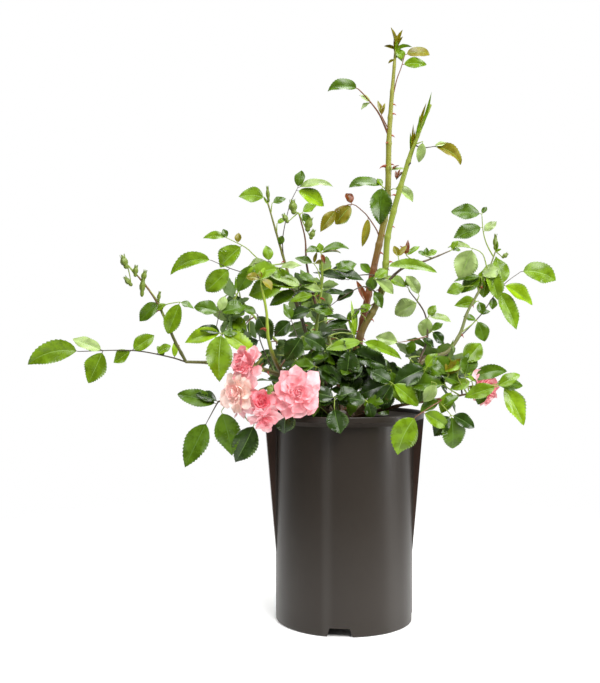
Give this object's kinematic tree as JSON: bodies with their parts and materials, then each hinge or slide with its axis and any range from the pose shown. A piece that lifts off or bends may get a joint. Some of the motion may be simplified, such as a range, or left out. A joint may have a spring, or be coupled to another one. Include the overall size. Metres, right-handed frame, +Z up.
{
  "type": "potted rose bush",
  "caption": "Young pink-flowered rose bush with arching canes, loose glossy foliage and clustered double blooms, standing in its tall ribbed nursery pot.",
  "frame": {"origin": "centre of the pot's flat underside, at floor level", "axes": "+Z up, -Y towards the side with the front blooms, +X to the right of it"},
  "size_m": [0.6237, 0.3678, 0.7061],
  "materials": {
    "pot_plastic": "satin",
    "potting_mix": "matte",
    "cane_bark": "satin",
    "green_cane": "satin",
    "foliage": "satin",
    "petals": "matte"
  },
  "bodies": {
    "root": {"bud_cluster": "foliage", "bud_stem": "cane_bark", "cane_side_leaves": "foliage", "centre_green_stem": "green_cane", "centre_high_leaves": "foliage", "centre_low_leaves": "foliage", "crown_stem": "cane_bark", "curled_leaf_spray": "foliage", "front_bloom": "petals", "front_hanging_leaf": "foliage", "front_right_leaves": "foliage", "leaning_cane": "green_cane", "leaning_side_leaf": "foliage", "leaning_tip_leaves": "foliage", "left_arching_cane": "cane_bark", "left_fan_spray": "foliage", "left_front_leaves": "foliage", "left_hanging_leaf": "foliage", "left_hanging_pair": "foliage", "left_inner_leaves": "foliage", "left_low_spray": "foliage", "left_lower_cane": "cane_bark", "left_pointed_leaf": "foliage", "left_rising_cane": "green_cane", "left_tip_leaves": "foliage", "left_upright_shoot": "green_cane", "long_left_spray": "foliage", "pot": "pot_plastic", "potting_mix": "potting_mix", "rear_cane": "cane_bark", "rear_left_cane": "green_cane", "rear_left_leaves": "foliage", "rear_low_leaves": "foliage", "rear_middle_leaves": "foliage", "rear_right_cane": "green_cane", "rear_right_leaves": "foliage", "rear_tip_leaves": "foliage", "right_bloom": "petals", "right_bud_leaves": "foliage", "right_cane": "green_cane", "right_drooping_leaf": "foliage", "right_far_spray": "foliage", "right_inner_spray": "foliage", "right_inner_stem": "cane_bark", "right_low_leaves": "foliage", "right_lower_cane": "cane_bark", "right_middle_leaves": "foliage", "right_tip_leaves": "foliage", "right_top_spray": "foliage", "rim_hanging_leaf": "foliage", "rising_bud_spray": "foliage", "side_blooms": "petals", "side_shoot": "cane_bark", "side_shoot_leaves": "foliage", "tall_cane": "cane_bark", "tall_cane_left_leaf": "foliage", "tall_cane_right_leaf": "foliage", "tall_cane_tip_leaves": "foliage", "young_green_shoot": "green_cane"}
  },
  "joints": []
}
